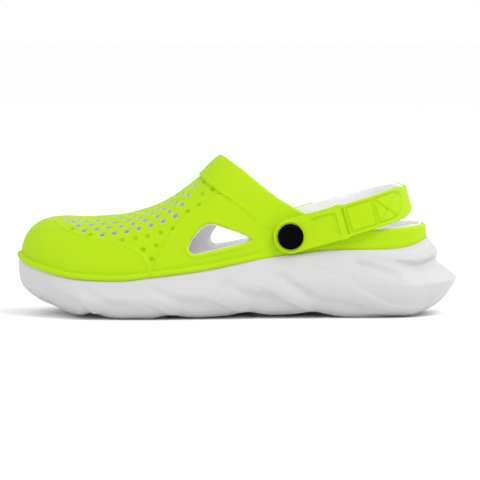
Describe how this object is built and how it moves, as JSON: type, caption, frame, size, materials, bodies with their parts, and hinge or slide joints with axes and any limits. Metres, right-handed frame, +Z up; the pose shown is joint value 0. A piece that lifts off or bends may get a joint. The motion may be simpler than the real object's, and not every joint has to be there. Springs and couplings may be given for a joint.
{
  "type": "moulded garden clog",
  "caption": "Chunky closed-toe moulded clog with a vented vamp, side windows, a wavy foam sole and a heel strap that swings on round rivets.",
  "frame": {"origin": "middle of the clog's bounding box, on the ground", "axes": "-X to the toe, +X to the heel, -Y to the outer side of the foot, +Z up"},
  "size_m": [0.2981, 0.1198, 0.1075],
  "materials": {
    "white_foam": "matte moulded foam",
    "white_tread": "matte rubber",
    "grey_footbed": "matte foam with fine nubs",
    "lime_foam": "smooth matte moulded foam",
    "white_lining": "matte foam",
    "black_plastic": "satin moulded plastic"
  },
  "bodies": {
    "clog": {"midsole": "white_foam", "outsole": "white_tread", "footbed": "grey_footbed", "upper_shell": "lime_foam", "upper_lining": "white_lining", "rivet_cap_left": "black_plastic", "rivet_cap_right": "black_plastic", "rivet_post_left": "black_plastic", "rivet_post_right": "black_plastic", "rivet_washer_left": "black_plastic", "rivet_washer_right": "black_plastic"},
    "strap": {"heel_strap": "lime_foam", "strap_lining": "white_lining"}
  },
  "joints": [
    {"name": "strap_swing", "type": "hinge", "parent": "clog", "child": "strap", "pos_m": [0.0355, 0, 0.056], "axis": [0, -1, 0], "range_deg": [0, 125]}
  ]
}
